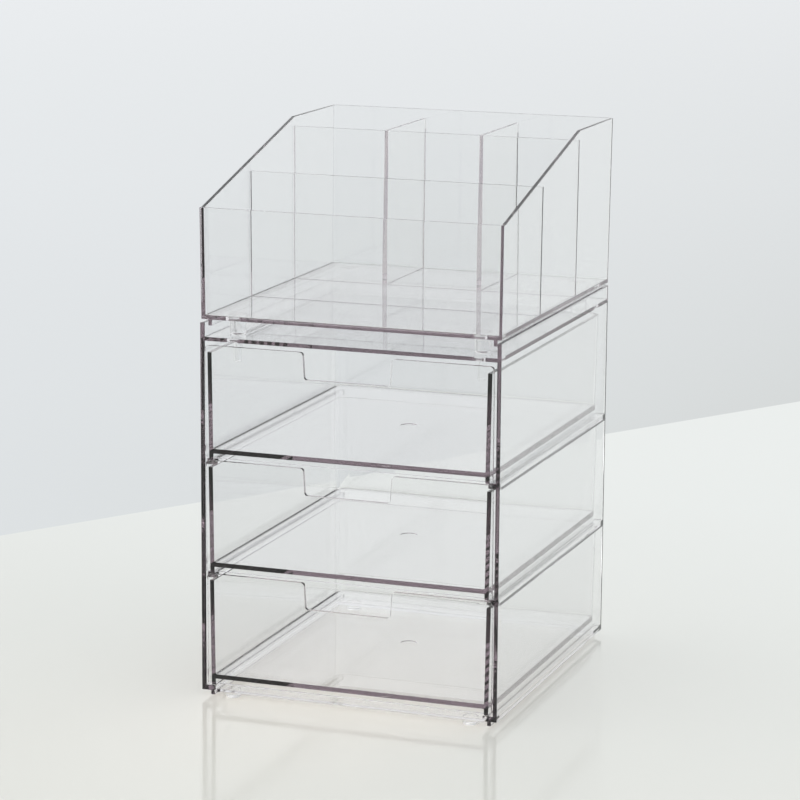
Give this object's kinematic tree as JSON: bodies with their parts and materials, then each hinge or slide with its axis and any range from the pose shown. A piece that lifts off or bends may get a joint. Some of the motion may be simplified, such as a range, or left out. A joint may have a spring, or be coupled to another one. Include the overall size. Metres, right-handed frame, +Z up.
{
  "type": "clear drawer organizer",
  "caption": "Clear plastic vanity cabinet with stacked pull-out drawers under a lift-off open tray divided into compartments.",
  "frame": {"origin": "middle of the footprint on the table, level with the underside of the feet", "axes": "+Z up; the drawers open towards -Y; +X to the right seen from the front"},
  "size_m": [0.1762, 0.205, 0.3137],
  "materials": {
    "cabinet_clear_plastic": "clear, polished moulding",
    "drawer_clear_plastic": "clear, polished moulding",
    "tray_clear_plastic": "clear, polished moulding",
    "foot_clear_plastic": "clear, slightly frosted"
  },
  "bodies": {
    "cabinet": {"cabinet_shell": "cabinet_clear_plastic", "top_plate": "cabinet_clear_plastic", "rail_lower_left": "cabinet_clear_plastic", "rail_middle_left": "cabinet_clear_plastic", "rail_upper_left": "cabinet_clear_plastic", "rail_lower_right": "cabinet_clear_plastic", "rail_middle_right": "cabinet_clear_plastic", "rail_upper_right": "cabinet_clear_plastic", "base_rib_left": "cabinet_clear_plastic", "base_rib_right": "cabinet_clear_plastic", "base_strip_front": "cabinet_clear_plastic", "base_strip_rear": "cabinet_clear_plastic", "foot_front_left": "foot_clear_plastic", "foot_front_right": "foot_clear_plastic", "foot_rear_left": "foot_clear_plastic", "foot_rear_right": "foot_clear_plastic"},
    "drawer_bottom": {"drawer_bottom_tub": "drawer_clear_plastic", "drawer_bottom_front": "drawer_clear_plastic"},
    "drawer_middle": {"drawer_middle_tub": "drawer_clear_plastic", "drawer_middle_front": "drawer_clear_plastic"},
    "drawer_top": {"drawer_top_tub": "drawer_clear_plastic", "drawer_top_front": "drawer_clear_plastic"},
    "tray": {"tray": "tray_clear_plastic", "tray_front_partition": "tray_clear_plastic", "tray_rear_partition": "tray_clear_plastic", "tray_divider_left": "tray_clear_plastic", "tray_divider_right": "tray_clear_plastic", "tray_rib_left": "tray_clear_plastic", "tray_rib_right": "tray_clear_plastic", "tray_foot_front_left": "foot_clear_plastic", "tray_foot_front_right": "foot_clear_plastic", "tray_foot_rear_left": "foot_clear_plastic", "tray_foot_rear_right": "foot_clear_plastic"}
  },
  "joints": [
    {"name": "drawer_bottom_slide", "type": "slide", "parent": "cabinet", "child": "drawer_bottom", "axis": [0, -1, 0], "range_m": [0, 0.15]},
    {"name": "drawer_middle_slide", "type": "slide", "parent": "cabinet", "child": "drawer_middle", "axis": [0, -1, 0], "range_m": [0, 0.15]},
    {"name": "drawer_top_slide", "type": "slide", "parent": "cabinet", "child": "drawer_top", "axis": [0, -1, 0], "range_m": [0, 0.15]},
    {"name": "tray_lift", "type": "slide", "parent": "cabinet", "child": "tray", "axis": [0, 0, 1], "range_m": [0, 0.05]}
  ]
}
